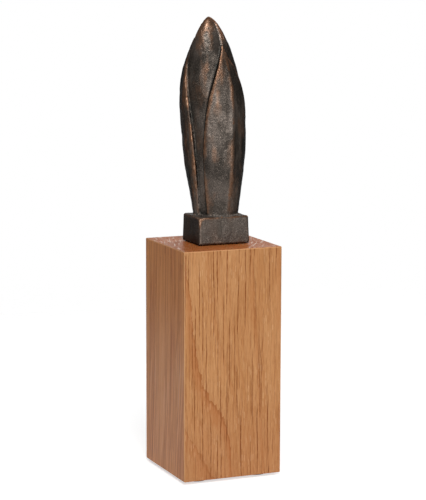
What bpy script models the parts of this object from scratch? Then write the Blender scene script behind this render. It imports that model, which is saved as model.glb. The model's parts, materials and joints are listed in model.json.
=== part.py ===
"""Display plinth: a solid oak block on felt pads, which carries a small cast bronze on two pins.

Units are metres, +Z is up. The origin is the middle of the block's footprint, on the surface that
the felt pads stand on. The front face looks along -Y and +X runs to the right along it. The bronze
is a closed bud of overlapping leaves on a rectangular foot. It lifts straight up off the block,
pins and all.
"""

import math
from collections import namedtuple

import bmesh
import bpy
from mathutils import Vector

# ---------------------------------------------------------------- clearances
SEAT_GAP = 0.0003  # between two faces that rest on or against each other
SLIDE_CLEARANCE = 0.00015  # radial, a pin or screw in its hole
OVERRUN = 0.001  # how far a cutter or a joined root runs past the face it goes through

# ---------------------------------------------------------------- oak block and its pads
PLINTH_WIDTH = 0.068
PLINTH_DEPTH = 0.068
PLINTH_HEIGHT = 0.150
PLINTH_EDGE_RADIUS = 0.0006

PAD_RADIUS = 0.008
PAD_THICKNESS = 0.0015
PAD_INSET = 0.005  # from the block's side to the pad's rim
PAD_RIM_RADIUS = 0.0003

# ---------------------------------------------------------------- where the bronze stands on the block
EXHIBIT_OFFSET = Vector((0.002, 0.0))

# ---------------------------------------------------------------- bronze foot
FOOT_WIDTH = 0.0355
FOOT_DEPTH = 0.029
FOOT_HEIGHT = 0.018
FOOT_TAPER = 0.0005  # each side leans in by this much at the top
FOOT_EDGE_RADIUS = 0.0011

# ---------------------------------------------------------------- bronze bud, under its leaves
BUD_HEIGHT = 0.1285
BUD_WIDTH = 0.0366
BUD_DEPTH = 0.0284
BUD_BASE_WIDTH = 0.0256
BUD_BASE_DEPTH = 0.0200
BUD_LEAN = Vector((-0.005, 0.001))  # how far the tip stands off the foot's axis
BUD_FULL_AT = 0.66  # share of the height where the bud is fullest
BUD_CLOSES_AT = 0.54  # share of the height where it starts to close
CASTING_WALL = 0.0042
CORE_SHARES = (0.06, 0.16, 0.28, 0.42, 0.56, 0.68, 0.76, 0.82)  # of its height, the core's rings

# ---------------------------------------------------------------- inner leaves, rolled round each other
INNER_LEAVES = 3
SEAM_STEP = 0.0013  # how far one rolled leaf's edge stands over the next leaf
SEAM_AZIMUTH = -128  # where the first edge starts at the foot
SEAM_TWIST = 78  # how far the edges turn on their way to the tip
SEAM_RISES_BY = 0.3  # share of the height where the step is full
SEAM_LARGEST_SHARE = 0.3  # of the bud's half depth, which limits the step near the tip

# ---------------------------------------------------------------- outer leaves
Leaf = namedtuple("Leaf", "azimuth half_angle tip_height twist lift")
LEAVES = (
    Leaf(azimuth=-80, half_angle=62, tip_height=0.109, twist=6, lift=0.0036),
    Leaf(azimuth=152, half_angle=55, tip_height=0.114, twist=6, lift=0.0031),
    Leaf(azimuth=42, half_angle=62, tip_height=0.104, twist=6, lift=0.0027),
)
LEAF_ROOT_DEPTH = 0.0014  # how far a leaf's inner side lies inside the bud
LEAF_LIP = 0.0008  # width of the eased lip along a leaf's edge
LEAF_TIP_WIDTH = 0.015  # blunt end, as a share of the leaf's full width

# Shares of a leaf's lift.
LEAF_ROOT_LIFT = 0.6  # what it has at the foot
LEAF_LIP_DROP = 0.1  # how far the lip falls away
LEAF_KEEL = 0.28  # height of the soft ridge down its middle
LEAF_TIP_CURL = 0.4  # how far its point turns out

# ---------------------------------------------------------------- fixing plate let into the foot
PLATE_WALL = 0.0035  # bronze left round the plate's recess
PLATE_THICKNESS = 0.0035
PLATE_CORNER_RADIUS = 0.0015

# ---------------------------------------------------------------- M3 countersunk plate screws
SCREW_RADIUS = 0.0015
SCREW_HEAD_RADIUS = 0.00275
SCREW_HEAD_HEIGHT = 0.0017
SCREW_LENGTH = 0.008
SCREW_EDGE_DISTANCE = 0.0036  # from the plate's end to the screw's axis
SLOT_WIDTH = 0.0008
SLOT_DEPTH = 0.0008

# ---------------------------------------------------------------- mounting pin, M6 above and plain below
PIN_RADIUS = 0.003
PIN_REACH = 0.032  # below the bronze's underside
PIN_TAPER = 0.0008
THREAD_PITCH = 0.001
THREAD_HEIGHT = 0.00055
THREAD_STANDOUT = 0.0015  # thread left above the nut

NUT_ACROSS_FLATS = 0.010
NUT_THICKNESS = 0.0032
CORE_MOUTH_CLEARANCE = 0.0008  # round the nut's corners

# ---------------------------------------------------------------- steady pin, which stops the bronze turning
STEADY_RADIUS = 0.0015
STEADY_REACH = 0.009
STEADY_BITE = 0.003  # above the plate, into the casting
STEADY_PLACE = Vector((0.0062, 0.0074))
STEADY_TAPER = 0.0004

# ---------------------------------------------------------------- brass sockets let into the block
SOCKET_WALL = 0.0018
SOCKET_LENGTH = 0.034
STEADY_SOCKET_WALL = 0.0009
STEADY_SOCKET_LENGTH = 0.011
SOCKET_CHAMFER = 0.0005
GLUE_GAP = 0.0002  # radial, between a socket and the oak

# ---------------------------------------------------------------- mesh fineness
ROUND_STEPS = 32
SMALL_ROUND_STEPS = 20
THREAD_STEPS = 16
ROWS_PER_PITCH = 4
BUD_RINGS = 26
INNER_LEAF_STEPS = 13
LEAF_ACROSS = 12
LEAF_ALONG = 20

# ---------------------------------------------------------------- heights worked out from the sizes above
PLINTH_BOTTOM = PAD_THICKNESS + SEAT_GAP
PLINTH_TOP = PLINTH_BOTTOM + PLINTH_HEIGHT
EXHIBIT_BASE = PLINTH_TOP + SEAT_GAP

# Heights in the exhibit's own frame, whose origin is the middle of the foot's underside.
PLATE_BOTTOM = SEAT_GAP
PLATE_TOP = PLATE_BOTTOM + PLATE_THICKNESS
RECESS_TOP = PLATE_TOP + SEAT_GAP
NUT_BOTTOM = PLATE_TOP + SEAT_GAP
NUT_TOP = NUT_BOTTOM + NUT_THICKNESS
THREAD_TOP = NUT_TOP + THREAD_STANDOUT
NUT_CORNER_RADIUS = NUT_ACROSS_FLATS / 2 / math.cos(math.radians(30))
CORE_MOUTH_RADIUS = NUT_CORNER_RADIUS + CORE_MOUTH_CLEARANCE
PLATE_WIDTH = FOOT_WIDTH - 2 * (PLATE_WALL + SEAT_GAP)
PLATE_DEPTH = FOOT_DEPTH - 2 * (PLATE_WALL + SEAT_GAP)
SCREW_X = PLATE_WIDTH / 2 - SCREW_EDGE_DISTANCE


# ================================================================ tools
def clear_scene():
    for obj in list(bpy.data.objects):
        bpy.data.objects.remove(obj, do_unlink=True)


def material(name, colour, roughness, metallic=0.0):
    made = bpy.data.materials.new(name)
    made.use_nodes = True
    shader = made.node_tree.nodes["Principled BSDF"]
    shader.inputs["Base Color"].default_value = (*colour, 1.0)
    shader.inputs["Roughness"].default_value = roughness
    shader.inputs["Metallic"].default_value = metallic
    return made


def object_from(bm, name, finish=None):
    """Turns a bmesh into a linked object with its faces pointing out."""
    bmesh.ops.recalc_face_normals(bm, faces=bm.faces)
    mesh = bpy.data.meshes.new(name)
    bm.to_mesh(mesh)
    bm.free()
    if finish:
        mesh.materials.append(finish)
    mesh.shade_smooth()
    mesh.set_sharp_from_angle(angle=math.radians(35))
    obj = bpy.data.objects.new(name, mesh)
    bpy.context.scene.collection.objects.link(obj)
    return obj


def place(obj, location, parent=None):
    obj.location = location
    obj.parent = parent
    return obj


def as_helper(obj):
    """A cutter or a shape that another object takes in: it isn't a piece of the plinth itself."""
    obj.hide_render = True
    obj.display_type = "WIRE"
    return obj


def combine(obj, helper, operation):
    step = obj.modifiers.new(f"{operation.lower()}_{helper.name}", "BOOLEAN")
    step.operation = operation
    step.object = as_helper(helper)


def round_edges(obj, radius, segments):
    bevel = obj.modifiers.new("rounded_edges", "BEVEL")
    bevel.width = radius
    bevel.segments = segments
    bevel.limit_method = "ANGLE"
    bevel.angle_limit = math.radians(40)


def block(name, width, depth, height, finish=None, taper=0.0):
    """A box standing on z = 0, its top drawn in by taper on each side."""
    bm = bmesh.new()
    bmesh.ops.create_cube(bm, size=1.0)
    for vert in bm.verts:
        inset = taper if vert.co.z > 0 else 0.0
        vert.co.x = math.copysign(width / 2 - inset, vert.co.x)
        vert.co.y = math.copysign(depth / 2 - inset, vert.co.y)
        vert.co.z = height if vert.co.z > 0 else 0.0
    return object_from(bm, name, finish)


def turned(name, profile, steps, finish=None):
    """A closed (radius, z) outline spun about Z. Points of radius 0 lie on the axis."""
    bm = bmesh.new()
    verts = [bm.verts.new((radius, 0.0, z)) for radius, z in profile]
    edges = [bm.edges.new(pair) for pair in zip(verts, verts[1:] + verts[:1])]
    bmesh.ops.spin(
        bm,
        geom=verts + edges,
        axis=(0, 0, 1),
        cent=(0, 0, 0),
        angle=math.tau,
        steps=steps,
        use_merge=True,
    )
    bmesh.ops.remove_doubles(bm, verts=bm.verts, dist=1e-7)
    on_axis = [edge for edge in bm.edges if all(vert.co.xy.length < 1e-7 for vert in edge.verts)]
    bmesh.ops.delete(bm, geom=on_axis, context="EDGES")
    return object_from(bm, name, finish)


def hole(name, radius, bottom, top, steps):
    return turned(name, [(0, bottom), (radius, bottom), (radius, top), (0, top)], steps)


def rings_to_solid(name, rings, finish=None):
    """Skins closed rings of equal point count, lowest first, and caps both ends."""
    bm = bmesh.new()
    loops = [[bm.verts.new(point) for point in ring] for ring in rings]
    for lower, upper in zip(loops, loops[1:]):
        for i, corner in enumerate(lower):
            after = (i + 1) % len(lower)
            bm.faces.new((corner, lower[after], upper[after], upper[i]))
    bm.faces.new(reversed(loops[0]))
    bm.faces.new(loops[-1])
    return object_from(bm, name, finish)


def sheet_to_solid(name, outer, inner):
    """A closed sheet from two grids of points, outer and inner, walled in round its four sides."""
    bm = bmesh.new()
    front = [[bm.verts.new(point) for point in row] for row in outer]
    back = [[bm.verts.new(point) for point in row] for row in inner]
    for grid in (front, back):
        for low, high in zip(grid, grid[1:]):
            for i in range(len(low) - 1):
                bm.faces.new((low[i], low[i + 1], high[i + 1], high[i]))

    def rim(grid):
        right = [row[-1] for row in grid[1:-1]]
        left = [row[0] for row in grid[-2:0:-1]]
        return grid[0] + right + grid[-1][::-1] + left

    outside, inside = rim(front), rim(back)
    for i, corner in enumerate(outside):
        after = (i + 1) % len(outside)
        bm.faces.new((corner, outside[after], inside[after], inside[i]))
    sheet = object_from(bm, name)
    for wall in sheet.data.polygons[-len(outside) :]:
        wall.use_smooth = False
    return sheet


def smooth_step(value):
    value = min(max(value, 0.0), 1.0)
    return value * value * (3 - 2 * value)


# ================================================================ oak block and pads
def oak_plinth(finish):
    oak = block("oak_plinth", PLINTH_WIDTH, PLINTH_DEPTH, PLINTH_HEIGHT, finish)
    place(oak, (0, 0, PLINTH_BOTTOM))
    round_edges(oak, PLINTH_EDGE_RADIUS, 3)
    for name, centre, radius, length in (
        ("pin_hole", EXHIBIT_OFFSET, pin_socket_radius(), SOCKET_LENGTH),
        ("steady_hole", EXHIBIT_OFFSET + STEADY_PLACE, steady_socket_radius(), STEADY_SOCKET_LENGTH),
    ):
        cutter = hole(name, radius + GLUE_GAP, -length - 2 * SEAT_GAP, OVERRUN, ROUND_STEPS)
        place(cutter, (*centre, PLINTH_TOP))
        combine(oak, cutter, "DIFFERENCE")
    return oak


def felt_pads(finish):
    x = PLINTH_WIDTH / 2 - PAD_INSET - PAD_RADIUS
    y = PLINTH_DEPTH / 2 - PAD_INSET - PAD_RADIUS
    profile = [
        (0, 0),
        (PAD_RADIUS - PAD_RIM_RADIUS, 0),
        (PAD_RADIUS, PAD_RIM_RADIUS),
        (PAD_RADIUS, PAD_THICKNESS - PAD_RIM_RADIUS),
        (PAD_RADIUS - PAD_RIM_RADIUS, PAD_THICKNESS),
        (0, PAD_THICKNESS),
    ]
    for name, side, end in (
        ("front_left", -1, -1),
        ("front_right", 1, -1),
        ("back_left", -1, 1),
        ("back_right", 1, 1),
    ):
        place(turned(f"felt_pad_{name}", profile, ROUND_STEPS, finish), (side * x, end * y, 0))


# ================================================================ brass sockets
def pin_socket_radius():
    return PIN_RADIUS + SLIDE_CLEARANCE + SOCKET_WALL


def steady_socket_radius():
    return STEADY_RADIUS + SLIDE_CLEARANCE + STEADY_SOCKET_WALL


def socket(name, bore, outside, length, centre, finish):
    """A tube flush with the oak's top, its mouth chamfered to lead the pin in."""
    profile = [
        (bore, -length),
        (outside, -length),
        (outside, 0),
        (bore + SOCKET_CHAMFER, 0),
        (bore, -SOCKET_CHAMFER),
    ]
    return place(turned(name, profile, ROUND_STEPS, finish), (*centre, PLINTH_TOP))


def sockets(finish):
    socket(
        "pin_socket",
        PIN_RADIUS + SLIDE_CLEARANCE,
        pin_socket_radius(),
        SOCKET_LENGTH,
        EXHIBIT_OFFSET,
        finish,
    )
    socket(
        "steady_socket",
        STEADY_RADIUS + SLIDE_CLEARANCE,
        steady_socket_radius(),
        STEADY_SOCKET_LENGTH,
        EXHIBIT_OFFSET + STEADY_PLACE,
        finish,
    )


# ================================================================ cast bronze
def bud_section(share):
    """Middle, half sizes (x, y) and outward tilt of the bare bud, at a share of its height."""
    rise = math.sin(math.pi / 2 * min(max(share, 0.0) / BUD_FULL_AT, 1.0))
    closing = min(max(share - BUD_CLOSES_AT, 0.0) / (1 - BUD_CLOSES_AT), 1.0)
    closed = (1 - closing**2) ** 0.72
    half_width = (BUD_BASE_WIDTH + (BUD_WIDTH - BUD_BASE_WIDTH) * rise) / 2 * closed
    half_depth = (BUD_BASE_DEPTH + (BUD_DEPTH - BUD_BASE_DEPTH) * rise) / 2 * closed
    tilt = math.pi / 2 * closing**1.7
    return BUD_LEAN * max(share, 0.0) ** 2, half_width, half_depth, tilt


def bud_point(angle, share, lift):
    """A point lift outside the bud's own surface, in the exhibit's frame."""
    middle, half_width, half_depth, tilt = bud_section(share)
    out, up = lift * math.cos(tilt), lift * math.sin(tilt)
    x = middle.x + (half_width + out) * math.cos(angle)
    y = middle.y + (half_depth + out) * math.sin(angle)
    return Vector((x, y, FOOT_HEIGHT + share * BUD_HEIGHT + up))


def inner_bud():
    """The rolled inner leaves: each falls away from its own edge and slips under the next one's."""
    low, high = -OVERRUN / BUD_HEIGHT, 0.999
    rings = []
    for row in range(BUD_RINGS + 1):
        share = low + (high - low) * math.sin(math.pi / 2 * row / BUD_RINGS)
        half_depth = bud_section(share)[2]
        step = min(SEAM_STEP * smooth_step(share / SEAM_RISES_BY), SEAM_LARGEST_SHARE * half_depth)
        turned_by = SEAM_AZIMUTH + SEAM_TWIST * max(share, 0.0) ** 2
        ring = []
        for leaf in range(INNER_LEAVES):
            for i in range(INNER_LEAF_STEPS + 1):
                across = i / INNER_LEAF_STEPS
                angle = math.radians(turned_by) + math.tau * (leaf + across) / INNER_LEAVES
                ring.append(bud_point(angle, share, step * (1 - across)))
        rings.append(ring)
    return rings_to_solid("inner_bud", rings)


def leaf_outline(along):
    """Half width of a leaf as a share of its full one, from its root (0) to its point (1)."""
    return (1 - 0.14 * (1 - along) ** 2) * max((1 - along**2.9) ** 0.9, LEAF_TIP_WIDTH)


def leaf_sheet(number, leaf):
    """An outer leaf as a solid rooted in the bud.

    The roots' depths differ, so that no two leaves share a face.
    """
    root_depth = LEAF_ROOT_DEPTH + leaf.lift / 4
    low = -(OVERRUN + leaf.lift / 4) / BUD_HEIGHT
    tip = leaf.tip_height / BUD_HEIGHT
    grids = [], []
    for row in range(LEAF_ALONG + 1):
        along = math.sin(math.pi / 2 * row / LEAF_ALONG)
        share = low + (tip - low) * along
        half = math.radians(leaf.half_angle) * leaf_outline(along)
        middle = math.radians(leaf.azimuth + leaf.twist * along)
        rise = LEAF_ROOT_LIFT + (1 - LEAF_ROOT_LIFT) * smooth_step(along / 0.4)
        curl = LEAF_TIP_CURL * smooth_step((along - 0.75) / 0.25)
        lip = min(LEAF_LIP / (BUD_WIDTH / 2 * half), 1 / LEAF_ACROSS)
        stations = [-1 + 2 * i / LEAF_ACROSS for i in range(1, LEAF_ACROSS)]
        outer, inner = [], []
        for across in [-1, -1 + lip, *stations, 1 - lip, 1]:
            drop = LEAF_LIP_DROP if abs(across) == 1 else 0.0
            keel = LEAF_KEEL * (1 - abs(across)) ** 1.5 * (1 - along**4)
            angle = middle + half * across
            outer.append(bud_point(angle, share, leaf.lift * (rise + curl + keel - drop)))
            inner.append(bud_point(angle, share, -root_depth))
        grids[0].append(outer)
        grids[1].append(inner)
    return sheet_to_solid(f"leaf_{number}", *grids)


def casting_core():
    """The core's hollow: a round mouth for the nut, then the bud's shape less the wall."""
    rings = []

    def ring(middle, half_width, half_depth, z):
        points = []
        for angle in turn_angles(SMALL_ROUND_STEPS):
            x = middle.x + half_width * math.cos(angle)
            y = middle.y + half_depth * math.sin(angle)
            points.append((x, y, z))
        rings.append(points)

    straight = Vector((0.0, 0.0))
    ring(straight, CORE_MOUTH_RADIUS, CORE_MOUTH_RADIUS, RECESS_TOP - OVERRUN)
    ring(straight, CORE_MOUTH_RADIUS, CORE_MOUTH_RADIUS, max(THREAD_TOP, FOOT_HEIGHT * 0.6))
    for share in CORE_SHARES:
        middle, half_width, half_depth, _ = bud_section(share)
        z = FOOT_HEIGHT + share * BUD_HEIGHT
        ring(middle, half_width - CASTING_WALL, half_depth - CASTING_WALL, z)
    return rings_to_solid("casting_core", rings)


def bronze_casting(finish, carrier):
    """Foot and bud in one casting, hollow, with a recess and tapped holes for the fixing plate."""
    bronze = block("bronze_casting", FOOT_WIDTH, FOOT_DEPTH, FOOT_HEIGHT, finish, FOOT_TAPER)
    place(bronze, (0, 0, 0), carrier)
    round_edges(bronze, FOOT_EDGE_RADIUS, 3)
    combine(bronze, place(inner_bud(), (0, 0, 0), carrier), "UNION")
    for number, leaf in enumerate(LEAVES, start=1):
        combine(bronze, place(leaf_sheet(number, leaf), (0, 0, 0), carrier), "UNION")
    combine(bronze, place(casting_core(), (0, 0, 0), carrier), "DIFFERENCE")
    recess_width = PLATE_WIDTH + 2 * SEAT_GAP
    recess_depth = PLATE_DEPTH + 2 * SEAT_GAP
    recess = block("plate_recess", recess_width, recess_depth, RECESS_TOP + OVERRUN)
    round_edges(recess, PLATE_CORNER_RADIUS, 3)
    upright_edges_only(recess)
    combine(bronze, place(recess, (0, 0, -OVERRUN), carrier), "DIFFERENCE")
    for name, x in (("left", -SCREW_X), ("right", SCREW_X)):
        tapped = hole(
            f"tapped_{name}",
            SCREW_RADIUS + SLIDE_CLEARANCE,
            RECESS_TOP - OVERRUN / 2,
            PLATE_BOTTOM + SCREW_LENGTH + SEAT_GAP,
            SMALL_ROUND_STEPS,
        )
        combine(bronze, place(tapped, (x, 0, 0), carrier), "DIFFERENCE")
    steady = hole(
        "steady_seat",
        STEADY_RADIUS + SLIDE_CLEARANCE,
        RECESS_TOP - OVERRUN / 2,
        PLATE_TOP + STEADY_BITE + SEAT_GAP,
        SMALL_ROUND_STEPS,
    )
    combine(bronze, place(steady, (*STEADY_PLACE, 0), carrier), "DIFFERENCE")
    return bronze


def upright_edges_only(obj):
    """Limits an object's bevel to its four upright edges."""
    weights = obj.data.attributes.new("bevel_weight_edge", "FLOAT", "EDGE")
    for edge in obj.data.edges:
        ends = [obj.data.vertices[i].co for i in edge.vertices]
        weights.data[edge.index].value = 1.0 if abs(ends[0].z - ends[1].z) > SEAT_GAP else 0.0
    obj.modifiers["rounded_edges"].limit_method = "WEIGHT"


# ================================================================ fixing hardware inside the foot
def mounting_plate(finish, carrier):
    plate = block("mounting_plate", PLATE_WIDTH, PLATE_DEPTH, PLATE_THICKNESS, finish)
    place(plate, (0, 0, PLATE_BOTTOM), carrier)
    round_edges(plate, PLATE_CORNER_RADIUS, 3)
    upright_edges_only(plate)
    for name, centre, radius in (
        ("pin", Vector((0.0, 0.0)), PIN_RADIUS),
        ("steady", STEADY_PLACE, STEADY_RADIUS),
    ):
        cutter = hole(
            f"{name}_way",
            radius + SLIDE_CLEARANCE,
            PLATE_BOTTOM - OVERRUN,
            PLATE_TOP + OVERRUN,
            SMALL_ROUND_STEPS,
        )
        combine(plate, place(cutter, (*centre, 0), carrier), "DIFFERENCE")
    for name, x in (("left", -SCREW_X), ("right", SCREW_X)):
        shank, head = SCREW_RADIUS + SLIDE_CLEARANCE, SCREW_HEAD_RADIUS + SLIDE_CLEARANCE
        widest = head + OVERRUN * (head - shank) / SCREW_HEAD_HEIGHT
        profile = [
            (0, PLATE_BOTTOM - OVERRUN),
            (widest, PLATE_BOTTOM - OVERRUN),
            (shank, PLATE_BOTTOM + SCREW_HEAD_HEIGHT),
            (shank, PLATE_TOP + OVERRUN),
            (0, PLATE_TOP + OVERRUN),
        ]
        countersink = turned(f"countersink_{name}", profile, SMALL_ROUND_STEPS)
        combine(plate, place(countersink, (x, 0, 0), carrier), "DIFFERENCE")
    return plate


def plate_screws(finish, carrier):
    """Slotted countersunk screws, heads down, flush with the plate's underside."""
    profile = [
        (0, 0),
        (SCREW_HEAD_RADIUS, 0),
        (SCREW_RADIUS, SCREW_HEAD_HEIGHT),
        (SCREW_RADIUS, SCREW_LENGTH - SCREW_RADIUS / 3),
        (SCREW_RADIUS * 2 / 3, SCREW_LENGTH),
        (0, SCREW_LENGTH),
    ]
    for name, x in (("left", -SCREW_X), ("right", SCREW_X)):
        screw = turned(f"plate_screw_{name}", profile, SMALL_ROUND_STEPS, finish)
        place(screw, (x, 0, PLATE_BOTTOM), carrier)
        slot_length = 2 * SCREW_HEAD_RADIUS + OVERRUN
        slot = block(f"slot_{name}", SLOT_WIDTH, slot_length, SLOT_DEPTH + OVERRUN)
        combine(screw, place(slot, (x, 0, PLATE_BOTTOM - OVERRUN), carrier), "DIFFERENCE")


def mounting_pin(finish, carrier):
    """Plain below the bronze, threaded through the plate and the lock nut above."""
    plain = (
        (-PIN_REACH, PIN_RADIUS - PIN_TAPER),
        (PIN_TAPER - PIN_REACH, PIN_RADIUS),
        (0.0, PIN_RADIUS),
    )
    rings = []
    for z, radius in plain:
        ring = [(radius * math.cos(a), radius * math.sin(a), z) for a in turn_angles(THREAD_STEPS)]
        rings.append(ring)
    rows = round(THREAD_TOP / THREAD_PITCH * ROWS_PER_PITCH)
    half_turns = 2 * THREAD_TOP / THREAD_PITCH
    for row in range(1, rows + 1):
        z = THREAD_TOP * row / rows
        run_in = min(1.0, half_turns * row / rows, half_turns * (rows - row) / rows)
        ring = []
        for angle in turn_angles(THREAD_STEPS):
            phase = (z / THREAD_PITCH - angle / math.tau) % 1.0
            depth = THREAD_HEIGHT * (1 - abs(2 * phase - 1)) * run_in
            radius = PIN_RADIUS - depth - (0.0 if row < rows else THREAD_HEIGHT)
            ring.append((radius * math.cos(angle), radius * math.sin(angle), z))
        rings.append(ring)
    return place(rings_to_solid("mounting_pin", rings, finish), (0, 0, 0), carrier)


def turn_angles(steps):
    return [math.tau * i / steps for i in range(steps)]


def lock_nut(finish, carrier):
    """A thin hexagon nut with its corners turned off top and bottom."""
    bm = bmesh.new()
    hexagon = []
    for angle in turn_angles(6):
        corner = NUT_CORNER_RADIUS * math.cos(angle), NUT_CORNER_RADIUS * math.sin(angle), 0
        hexagon.append(bm.verts.new(corner))
    face = bm.faces.new(hexagon)
    grown = bmesh.ops.extrude_face_region(bm, geom=[face])
    raised = [item for item in grown["geom"] if isinstance(item, bmesh.types.BMVert)]
    bmesh.ops.translate(bm, verts=raised, vec=(0, 0, NUT_THICKNESS))
    nut = place(object_from(bm, "lock_nut", finish), (0, 0, NUT_BOTTOM), carrier)
    turned_off = (NUT_CORNER_RADIUS - NUT_ACROSS_FLATS / 2) * math.tan(math.radians(30))
    profile = [
        (0, 0),
        (NUT_ACROSS_FLATS / 2, 0),
        (NUT_CORNER_RADIUS, turned_off),
        (NUT_CORNER_RADIUS, NUT_THICKNESS - turned_off),
        (NUT_ACROSS_FLATS / 2, NUT_THICKNESS),
        (0, NUT_THICKNESS),
    ]
    corners = turned("nut_corners", profile, ROUND_STEPS)
    combine(nut, place(corners, (0, 0, NUT_BOTTOM), carrier), "INTERSECT")
    bore = PIN_RADIUS + SLIDE_CLEARANCE
    thread = hole("nut_thread", bore, -OVERRUN, NUT_THICKNESS + OVERRUN, SMALL_ROUND_STEPS)
    combine(nut, place(thread, (0, 0, NUT_BOTTOM), carrier), "DIFFERENCE")
    return nut


def steady_pin(finish, carrier):
    """A plain dowel, tapered at both ends, that stands in the casting and the plate."""
    top, narrow = PLATE_TOP + STEADY_BITE, STEADY_RADIUS - STEADY_TAPER
    profile = [
        (0, -STEADY_REACH),
        (narrow, -STEADY_REACH),
        (STEADY_RADIUS, STEADY_TAPER - STEADY_REACH),
        (STEADY_RADIUS, top - STEADY_TAPER),
        (narrow, top),
        (0, top),
    ]
    return place(turned("steady_pin", profile, SMALL_ROUND_STEPS, finish), (*STEADY_PLACE, 0), carrier)


# ================================================================ the whole plinth
def main():
    clear_scene()
    oak = material("oiled_oak", (0.45, 0.22, 0.09), 0.38)
    felt = material("felt", (0.035, 0.03, 0.028), 0.95)
    brass = material("brass", (0.72, 0.50, 0.20), 0.3, metallic=1.0)
    bronze = material("patinated_bronze", (0.09, 0.07, 0.055), 0.42, metallic=0.8)
    steel = material("stainless_steel", (0.58, 0.57, 0.55), 0.28, metallic=1.0)

    oak_plinth(oak)
    felt_pads(felt)
    sockets(brass)

    carrier = bpy.data.objects.new("exhibit_lift", None)
    bpy.context.scene.collection.objects.link(carrier)
    place(carrier, (*EXHIBIT_OFFSET, EXHIBIT_BASE))
    bronze_casting(bronze, carrier)
    mounting_plate(brass, carrier)
    plate_screws(steel, carrier)
    mounting_pin(steel, carrier)
    lock_nut(steel, carrier)
    steady_pin(steel, carrier)


main()
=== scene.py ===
"""Looks of the display plinth: an oiled oak block, felt pads, metal fittings and a patinated bronze bud.

Everything is in metres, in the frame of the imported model. The bronze and the felt pads are modelled here
and stand for their plain solids. The other solids keep their shape and get their material.
"""

import json
import math
from collections import namedtuple

import bmesh
import bpy
import numpy as np
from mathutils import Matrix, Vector, noise

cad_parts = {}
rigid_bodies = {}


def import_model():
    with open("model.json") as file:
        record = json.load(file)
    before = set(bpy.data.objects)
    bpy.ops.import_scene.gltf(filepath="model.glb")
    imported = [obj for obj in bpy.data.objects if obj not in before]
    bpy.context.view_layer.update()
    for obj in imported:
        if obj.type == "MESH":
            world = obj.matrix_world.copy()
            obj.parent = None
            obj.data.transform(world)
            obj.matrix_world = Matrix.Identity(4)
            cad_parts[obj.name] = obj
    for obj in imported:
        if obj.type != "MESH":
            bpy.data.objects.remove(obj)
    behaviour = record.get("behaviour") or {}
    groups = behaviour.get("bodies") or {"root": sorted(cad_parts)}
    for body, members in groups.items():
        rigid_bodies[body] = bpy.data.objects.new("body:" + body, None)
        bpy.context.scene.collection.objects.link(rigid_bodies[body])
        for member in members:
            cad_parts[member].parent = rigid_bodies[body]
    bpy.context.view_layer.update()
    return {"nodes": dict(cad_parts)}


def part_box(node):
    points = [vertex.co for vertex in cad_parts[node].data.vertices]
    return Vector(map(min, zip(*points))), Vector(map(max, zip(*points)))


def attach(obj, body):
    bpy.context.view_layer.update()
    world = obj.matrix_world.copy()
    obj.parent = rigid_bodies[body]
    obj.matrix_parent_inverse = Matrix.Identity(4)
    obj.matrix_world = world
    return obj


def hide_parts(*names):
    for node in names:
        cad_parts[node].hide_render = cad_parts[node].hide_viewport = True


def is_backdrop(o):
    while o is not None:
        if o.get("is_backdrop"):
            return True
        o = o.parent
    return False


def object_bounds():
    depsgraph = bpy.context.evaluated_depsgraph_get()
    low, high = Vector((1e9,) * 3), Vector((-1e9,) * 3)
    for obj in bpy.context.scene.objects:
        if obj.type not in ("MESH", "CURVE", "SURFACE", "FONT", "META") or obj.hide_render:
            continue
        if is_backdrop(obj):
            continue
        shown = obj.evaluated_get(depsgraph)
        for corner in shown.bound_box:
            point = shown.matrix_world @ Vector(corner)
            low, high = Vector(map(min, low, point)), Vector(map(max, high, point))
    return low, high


MM = 0.001

# ---------------------------------------------------------------- camera, as seen from the oak block's base
CAMERA_PLACE = Vector((-0.4989, -1.1773, 0.3440))
CAMERA_AZIMUTH = -22.97
CAMERA_PITCH = 8.86
CAMERA_ROLL = 0.15
CAMERA_LENS = 142.4
CAMERA_SENSOR = 36.0
CAMERA_CLIP = 0.01

# ---------------------------------------------------------------- bronze foot, as in the solids
FOOT_WALL = 3.8 * MM  # from the fixing plate's side to the foot's side
FOOT_HEIGHT = 18 * MM
FOOT_TAPER = 0.5 * MM
FOOT_CORNER_RADIUS = 0.4 * MM  # of its upright edges
FOOT_EDGE_RADIUS = 1.1 * MM  # of its top edges
RECESS_GAP = 0.3 * MM
RECESS_CORNER_RADIUS = 1.5 * MM
RECESS_OVERRUN = 2 * MM  # how far the cutter stands out below the foot

# ---------------------------------------------------------------- bronze bud, as in the solids
BUD_WIDTH = 36.6 * MM
BUD_DEPTH = 28.4 * MM
BUD_BASE_WIDTH = 25.6 * MM
BUD_BASE_DEPTH = 20.0 * MM
BUD_LEAN = (-5 * MM, 1 * MM)
BUD_FULL_AT = 0.66  # share of its height by which it has swelled out
BUD_CLOSES_AT = 0.54  # share where it starts to close over
BUD_TOP_FULLNESS = 0.72  # a power, smaller for a blunter top
BUD_TOP_TILT = 1.7  # a power, larger where its side turns up only near the top
BUD_TOP = 0.9995  # share where it is capped, just short of a point
BUD_ROOT = 1.5 * MM  # how far the bud and its leaves reach into the foot

# An azimuth on the bud is in degrees from its right side, counted round by the back.
INNER_LEAVES = 3
SEAM_STEP = 1.3 * MM  # how far one furled leaf stands over the next
SEAM_AZIMUTH = -128  # of the first seam at the foot
SEAM_TWIST = 78  # degrees that a seam winds round the bud
SEAM_RISES_BY = 0.3  # share of the height by which the step is whole
SEAM_LARGEST_SHARE = 0.3  # the most it may be of half the bud's depth

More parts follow.
